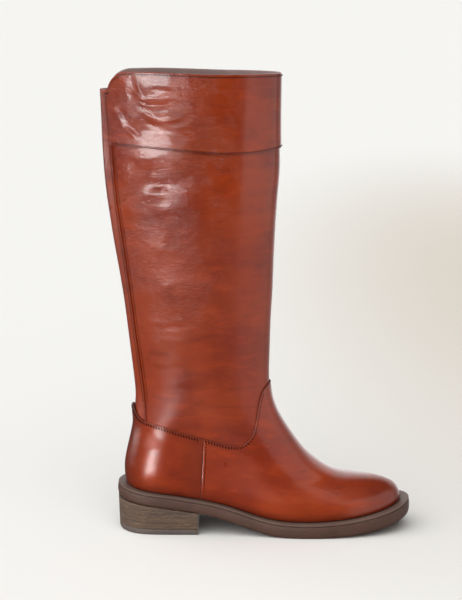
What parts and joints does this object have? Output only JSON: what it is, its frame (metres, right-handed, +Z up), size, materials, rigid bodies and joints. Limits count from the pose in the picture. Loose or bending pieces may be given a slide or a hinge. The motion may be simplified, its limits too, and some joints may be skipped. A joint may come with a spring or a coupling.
{
  "type": "knee-high boot",
  "caption": "Knee-high riding boot for the right foot with a stacked block heel, collar band, back strip, heel counter and plain vamp.",
  "frame": {"origin": "bottom centre of the bounding box: the floor under the middle of the boot", "axes": "+X towards the toe, +Z up, the outer side of the foot towards -Y"},
  "size_m": [0.287, 0.0948, 0.4288],
  "materials": {
    "shaft_leather": "glossy cognac leather with drawn grain wrinkles",
    "foot_leather": "smooth polished cognac leather",
    "lining": "matt dark grey-brown lining leather",
    "thread": "dark brown waxed thread",
    "welt": "matt brown welt leather",
    "sole_edge": "smooth brown stained edge, satin",
    "heel_stack": "stacked heel lifts with tan and brown streaks, matt",
    "top_lift": "smooth dark brown rubber",
    "insole": "matt brown sock leather"
  },
  "bodies": {
    "root": {"outsole": "sole_edge", "welt": "welt", "heel": "heel_stack", "top_lift": "top_lift", "insole": "insole", "upper": "shaft_leather", "vamp": "foot_leather", "counter": "foot_leather", "back_strip": "shaft_leather", "collar_band": "shaft_leather"}
  },
  "joints": []
}
